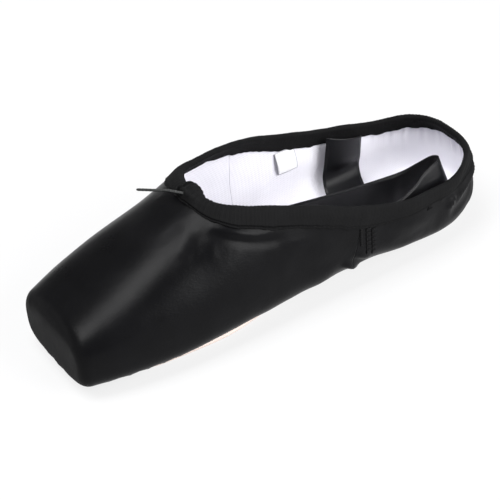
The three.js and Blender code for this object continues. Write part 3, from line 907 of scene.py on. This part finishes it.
def on_quarter(side, along_foot, height):
    """The satin's point at one place on a side, and its outward direction."""
    start = Vector((side * 80.0, along_foot, height))
    spot, outward, _, _ = satin_tree.ray_cast(start, Vector((-side, 0, 0)))
    return np.array(spot), np.array(outward)


def thread_run(name, run, thickness):
    """Stitches that follow one another between pairs of points on the satin."""
    ends, ways = [], []
    for (a, way), (b, _) in run:
        ends.append((a + way * SEWN_LIFT, b + way * SEWN_LIFT))
        ways.append(way)
    return row_of_stitches(name, ends, ways, thread, thickness)


for side, label in ((1, "near"), (-1, "far")):
    run = []
    row, high, low = SEAM_ROW
    for i in range(int((high - low) / SEAM_STEP)):
        top = high - i * SEAM_STEP
        left = SEAM_WIDTH / 2 * (1 if i % 2 else -1)
        run.append((on_quarter(side, row + left, top),
                    on_quarter(side, row - left, top - SEAM_STEP)))
    for column, high in LADDER_COLUMNS:
        for i in range(int((high - LADDER_FOOT) / LADDER_STEP)):
            top = high - i * LADDER_STEP
            corner = on_quarter(side, column, top)
            rung_end = on_quarter(side, column + LADDER_WIDTH, top + SLOPE * LADDER_WIDTH)
            run.append((corner, rung_end))
            run.append((corner, on_quarter(side, column, top - LADDER_STEP)))
    thread_run(f"ribbon_zigzag_{label}", run, SEWN_THREAD)
    along, high = CROSS
    middle = on_quarter(side, along, high)
    cross = []
    for rise in (CROSS_ARM, -CROSS_ARM):
        cross.append((on_quarter(side, along - CROSS_ARM, high - rise), middle))
        cross.append((middle, on_quarter(side, along + CROSS_ARM, high + rise)))
    for start in along + np.linspace(-CROSS_BORDER, 1.4, 5):
        for border in (high + CROSS_BORDER, high - CROSS_BORDER):
            cross.append((on_quarter(side, start, border), on_quarter(side, start + 0.6, border)))
    thread_run(f"ribbon_cross_{label}", cross, CROSS_THREAD)

# ---- Size tag ----------------------------------------------------------------------------------
# A blank piece of white woven tape with turned edges, whose shade is painted grey along its sides
# and foot.
# It is caught under the casing's inner edge on the -X side and hangs free over the lining.
TAG_WIDTH = 12.2
TAG_DROP = 13.0
TAG_TOP = 41.4  # height of its upper edge, under the casing
TAG_MIDDLE = 35.5  # along the foot
TAG_SLANT = 1.6  # by which its free end leans toward the heel
TAG_THICKNESS = 0.35
TAG_ROWS, TAG_COLUMNS = 25, 9


def on_lining(along_foot, height):
    start = Vector((0.0, along_foot, height))
    spot, outward, _, _ = lining_tree.ray_cast(start, Vector((-1, 0, 0)))
    return np.array(spot), -np.array(outward)


tag_rows = []
for share in np.linspace(0, 1, TAG_ROWS):
    height = TAG_TOP - TAG_DROP * share
    row = []
    for across in np.linspace(-0.5, 0.5, TAG_COLUMNS):
        place = TAG_MIDDLE + across * TAG_WIDTH + TAG_SLANT * share
        spot, inward = on_lining(place, height)
        clear = 0.3 + 1.3 * math.sin(share * 2.6) + 0.25 * math.cos(across * 5.0) * share
        row.append(spot + inward * clear)
    tag_rows.append(row)
tag_rows = np.array(tag_rows)
tag_back = tag_rows + np.array([-TAG_THICKNESS, 0.0, 0.0])
tag_ring = np.concatenate([tag_rows, tag_back[:, ::-1]], axis=1)
tag_tape = Finish("tag_tape", Roughness=0.8, Specular_IOR_Level=0.3)
u, v, _ = tag_tape.place("UV")
yarn = ((u * 9000.0).sine() * (v * 9000.0).sine()) * 0.5 + 0.5
# Grey bands along the tag's sides and foot: painted shade at its turned edges, which also dip in
# the relief.
side_edge_shade = (TAG_WIDTH / 2 * MM - u.size()).inside(0.0003, 0.0003)
folded_edge_shade = (TAG_DROP * MM - v).inside(0.0003, 0.0003)
edge_dip_and_shade = side_edge_shade.maths("MAXIMUM", side_edge_shade, folded_edge_shade)
tag_tape.feed(tag_tape.shader, {
    "Base Color": tag_tape.blend(yarn * 0.2 + edge_dip_and_shade * 0.8, rgb(250, 250, 252), rgb(168, 168, 176)),
})
tag_tape.relief(yarn - edge_dip_and_shade, 0.00012)


def tag_uv(r, c):
    """How far across the tag from its middle, and how far down, on its front and its back."""
    column = min(c, 2 * TAG_COLUMNS - 1 - c)
    across = column / (TAG_COLUMNS - 1) - 0.5
    return (across * TAG_WIDTH * MM, r / (TAG_ROWS - 1) * TAG_DROP * MM)


tag = piece_from_grid("size_tag_blank", tag_ring, tag_tape, caps=True, uv=tag_uv)

# ---- Insole ------------------------------------------------------------------------------------
# The insole board with its white cotton sock, as wide as the lining allows. It lies on the
# turned-in edge of the upper, glued down, and is the only floor inside the shoe.
GAP = 0.3
INSOLE_THICKNESS = 2.2
EDGE_DROP = 0.7  # by which the sock rolls over the board's edge
heel_start = LENGTH - HEEL_DOME
stations = np.concatenate([
    [1.0, 2.0, 3.0, 4.0],
    np.linspace(6, heel_start, 110),
    heel_start + HEEL_DOME * np.sin(np.linspace(0.05, 1.12, 20)),
])
rows = []
for at in stations:
    clear = wall(at) + GAP
    s = section(at, clear, wall(0) + GAP, wall(LENGTH) + GAP)
    top = float(last["low"](at)) + clear + INSOLE_THICKNESS
    bottom = max(s["low"] + 0.1, float(last["low"](at)) + clear + 0.1)
    share = np.clip((s["belly"] - np.array([top, bottom])) / (s["belly"] - s["low"]), 0, 1)
    half = s["half"] * (1 - share ** s["base"]) ** (1 / s["base"])
    if half.min() < 0.5:  # past its end
        continue
    across = np.sin(np.linspace(-1, 1, 25) * math.pi / 2)
    upper_row = [(half[0] * a, s["y"], top - EDGE_DROP * abs(a) ** 12) for a in across]
    lower_row = [(half[1] * a, s["y"], bottom) for a in across[::-1]]
    rows.append(upper_row + lower_row)
rows = np.array(rows)
toe_end, heel_end = ((rows[i] + rows[i, ::-1]) / 2 for i in (0, -1))  # its ends are closed flat
rows = np.concatenate([toe_end[None], rows, heel_end[None]])
insole = piece_from_grid("insole_sock", rows, cotton)
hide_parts("insole")

# ---- Outsole -----------------------------------------------------------------------------------
# A thin leather sole, cut narrow at the waist, skived round its edge and cemented and sewn to the
# turned-in satin. It stands on the floor at the ball and the heel and follows the arch between.
SOLE_THICKNESS = 2.6
SOLE_EDGE = 0.7  # radius of its rubbed edge
SOLE_FRONT, SOLE_BACK = 14.0, 231.0
SOLE_FRONT_ROUND, SOLE_BACK_ROUND = 24.0, 19.0
SOLE_WIDTH = np.array([
    # at, half width
    (14, 18), (45, 26), (75, 27.5), (105, 23), (135, 17), (165, 15.5), (200, 20.5), (231, 21),
])
sole_half = through(SOLE_WIDTH, 1)


def sole_edge(at):
    """Half width of the sole's outline, with its rounded ends."""
    front = max(0.0, (SOLE_FRONT + SOLE_FRONT_ROUND - at) / SOLE_FRONT_ROUND)
    back = max(0.0, (at - SOLE_BACK + SOLE_BACK_ROUND) / SOLE_BACK_ROUND)
    ends = math.sqrt(max(0.0, 1 - front ** 2)) * math.sqrt(max(0.0, 1 - back ** 2))
    return float(sole_half(at)) * ends


SOLE_ROWS, SOLE_COLUMNS = 150, 20
bpy.ops.mesh.primitive_grid_add(x_subdivisions=SOLE_COLUMNS, y_subdivisions=SOLE_ROWS, size=2)
outsole = bpy.context.active_object
outsole.name = "leather_outsole"
for vertex in outsole.data.vertices:
    share = (1 - math.cos((vertex.co.y + 1) / 2 * math.pi)) / 2
    at = SOLE_FRONT + share * (SOLE_BACK - SOLE_FRONT)
    height = max(0.0, float(last["low"](at)) - GAP - SOLE_THICKNESS)
    vertex.co = Vector((vertex.co.x * sole_edge(at), at - LENGTH / 2, height)) * MM
bpy.ops.object.mode_set(mode="EDIT")
bpy.ops.mesh.select_all(action="SELECT")
bpy.ops.mesh.remove_doubles(threshold=1e-6)
thickness = (0, 0, (SOLE_THICKNESS - 0.1) * MM)
bpy.ops.mesh.extrude_region_move(TRANSFORM_OT_translate={"value": thickness})
bpy.ops.mesh.select_all(action="SELECT")
bpy.ops.mesh.normals_make_consistent(inside=False)
bpy.ops.object.mode_set(mode="OBJECT")
edge_round = outsole.modifiers.new("edge", "BEVEL")
edge_round.width = SOLE_EDGE * MM
edge_round.segments = 3
edge_round.limit_method = "ANGLE"
edge_round.angle_limit = math.radians(50)
bpy.ops.object.modifier_apply(modifier="edge")
bpy.ops.object.mode_set(mode="EDIT")
bpy.ops.mesh.select_all(action="SELECT")
bpy.ops.mesh.remove_doubles(threshold=2e-5)
bpy.ops.mesh.dissolve_degenerate(threshold=2e-5)
bpy.ops.object.mode_set(mode="OBJECT")
outsole.data.shade_smooth()

leather = Finish("sole_leather", Roughness=0.72, Specular_IOR_Level=0.35)
x, y, z = leather.place()
hide = leather.grain(700.0, 5.0)
stain = leather.grain(30.0, 3.0)
scuffed = leather.grain(90.0, 4.0, leather.vector(x, y * 6.0, z))
leather.feed(leather.shader, {
    "Base Color": leather.blend(stain * 0.6 + scuffed * 0.4,
                                rgb(242, 227, 220), rgb(218, 196, 186)),
})
leather.relief(hide * 0.7 + scuffed * 0.4, 0.00015)
outsole.data.materials.append(leather.material)
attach(outsole, "root")
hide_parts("outsole")
bpy.ops.object.select_all(action="DESELECT")

# ---- Ribbons -----------------------------------------------------------------------------------
# Two lengths of satin ribbon sewn inside the quarters and left tucked in the shoe: one stands on
# edge and turns back on itself at the heel, the other hangs down the far quarter.
RIBBON_WIDTH = 23.0
RIBBON_THICKNESS = 0.4
SELVEDGE = 0.9  # width of its woven edge
WARP = 0.4  # pitch of its threads
NEAR_RIBBON = [
    # x, y and height of the top edge, and how far it leans along x and y in its whole width
    (30.6, 33, 37, 0, 0), (31.4, 48, 37, 0, 0), (31, 60, 38, -1, 0), (28.6, 70, 40, -3, -1),
    (26.2, 77, 42.6, -4.5, -2), (24.6, 83.5, 44.2, -5.5, -4), (23, 88.5, 44.4, -5, -6),
    (20, 90.8, 44.4, -2.5, -6.5), (17, 88.4, 43.6, 1, -6), (14.8, 82, 41, 1, -3),
    (13, 74, 38.6, 0, 0), (10.8, 62, 37.8, 0, 0),
    (7.6, 44, 37.5, 0, 0), (3.4, 24, 37.5, 0, 0), (-1.6, 8, 36.5, 0, 0), (-8, -6, 34, 0, 0),
]
FAR_RIBBON = [
    # x, height, where its middle is along the foot
    (-31, 38, 70), (-31.3, 31, 69.4), (-31.2, 24, 68.4), (-30.4, 18.6, 66.8), (-26.4, 13.8, 65),
    (-20, 11.6, 63), (-13, 10.9, 61), (-4, 10.8, 58.5), (6, 10.9, 56),
]


def ribbon(name, middle, width_way, bow):
    """A strip of ribbon: its middle line, the direction of its width, and how far it bows."""
    tangent = unit(np.gradient(middle, axis=0))
    face = unit(np.cross(tangent, width_way))
    across = np.linspace(-0.5, 0.5, 13)
    both = [(a, 1) for a in across] + [(a, -1) for a in across[::-1]]  # its front and its back
    rows = []
    for centre, wide, out, hollow in zip(middle, width_way, face, bow):
        rows.append([centre + wide * RIBBON_WIDTH * a
                     + out * (hollow * (0.25 - a * a) * 4 + side * RIBBON_THICKNESS / 2)
                     for a, side in both])
    along = np.concatenate([[0], np.cumsum(np.linalg.norm(np.diff(middle, axis=0), axis=1))])
    uv = lambda r, c: (along[r] * MM, both[c % len(both)][0] * RIBBON_WIDTH * MM)
    return piece_from_grid(name, np.array(rows), ribbon_satin, caps=True, uv=uv)


ribbon_satin = Finish("ribbon_satin", Specular_IOR_Level=0.2)
u, v, _ = ribbon_satin.place("UV")
selvedge = (v.size() - (RIBBON_WIDTH / 2 - SELVEDGE) * MM).size().inside(0.00015, 0.00025)
warp = (v * (2 * math.pi / (WARP * MM))).sine() * 0.5 + 0.5
drift = ribbon_satin.grain(90.0, 2.0)
ribbon_satin.feed(ribbon_satin.shader, {
    "Base Color": ribbon_satin.blend(drift, rgb(10, 10, 12), rgb(18, 18, 21)),
    "Roughness": 0.27 + drift * 0.12,
})
ribbon_satin.relief(warp * 0.25 + drift * 0.5 - selvedge * 0.8, 0.00012)

near_path = []
for x, y, top, lean_x, lean_y in NEAR_RIBBON:
    way = unit(np.array([lean_x, lean_y, RIBBON_WIDTH]))
    near_path.append([*(np.array([x, y, top]) - way * RIBBON_WIDTH / 2), *way])
near_path = smooth_curve(near_path, 190)
near_line, near_way = near_path[:, :3], unit(near_path[:, 3:])
# it bows gently on the way to the heel, and more on the way back, first one way, then the other
near_share = np.linspace(0, 1, len(near_line))
near_back = smoothly(0.5, 0.56, near_share)
near_bow = 0.5 * np.sin(9.0 * near_share) * (1 - near_back)
near_bow += near_back * (1.3 * smoothly(62, 54, near_line[:, 1])
                         - 1.5 * np.exp(-((near_line[:, 1] - 69) / 5.5) ** 2))
near_ribbon = ribbon("ribbon_standing", near_line, near_way, near_bow)
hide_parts("ribbon_near")

far_line = smooth_curve([(x, wide, z) for x, z, wide in FAR_RIBBON], 80)
slant = -0.34 * smoothly(14, 34, far_line[:, 2])  # its sewn end is cut and caught askew
far_way = unit(np.stack([0 * slant, 1 + 0 * slant, slant], axis=1))
far_bow = 0.6 * np.sin(np.linspace(0, 5.0, len(far_line))) + 2.2 * smoothly(16, 28, far_line[:, 2])
far_ribbon = ribbon("ribbon_hanging", far_line, far_way, far_bow)
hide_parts("ribbon_far")

# ---- Floor, light and finish -------------------------------------------------------------------
# A white floor that is mostly its own light, so that it stays white round a black shoe, a long
# softbox over the toe, a small one behind and a large one on the heel's +X side.
bpy.ops.mesh.primitive_plane_add(size=6.0, location=(0, 0, -0.1 * MM))  # just under the sole
floor = bpy.context.active_object
floor.name = "floor"
floor_finish = Finish("floor_white", Base_Color=rgb(100, 100, 101), Roughness=0.7,
                      Specular_IOR_Level=0.1, Emission_Color=(1.0, 1.0, 1.0, 1.0),
                      Emission_Strength=0.79)
floor.data.materials.append(floor_finish.material)
bpy.ops.object.select_all(action="DESELECT")

world = bpy.data.worlds.new("studio")
bpy.context.scene.world = world
world.use_nodes = True
sky = world.node_tree.nodes["Background"].inputs
sky["Color"].default_value = (1.0, 1.0, 1.0, 1.0)
sky["Strength"].default_value = 0.2


def softbox(name, place, aim, width, height, power):
    """A rectangular studio light at a place, facing a point."""
    light = bpy.data.lights.new(name, "AREA")
    light.shape = "RECTANGLE"
    light.size = width
    light.size_y = height
    light.energy = power
    lamp = bpy.data.objects.new(name, light)
    turn = (Vector(aim) - Vector(place)).to_track_quat("-Z", "Y")
    lamp.matrix_world = Matrix.Translation(place) @ turn.to_matrix().to_4x4()
    bpy.context.collection.objects.link(lamp)


softbox("top_light", (-0.04, -0.5, 1.15), (-0.04, -0.5, 0), 0.6, 1.0, 20)
softbox("back_light", (-1.2, 0.4, 0.5), (0, 0, 0.03), 0.6, 0.3, 3)
softbox("fill_light", (1.22, 0.86, 0.72), (0, 0, 0.03), 1.4, 1.2, 44)
bpy.context.scene.view_settings.view_transform = "Standard"
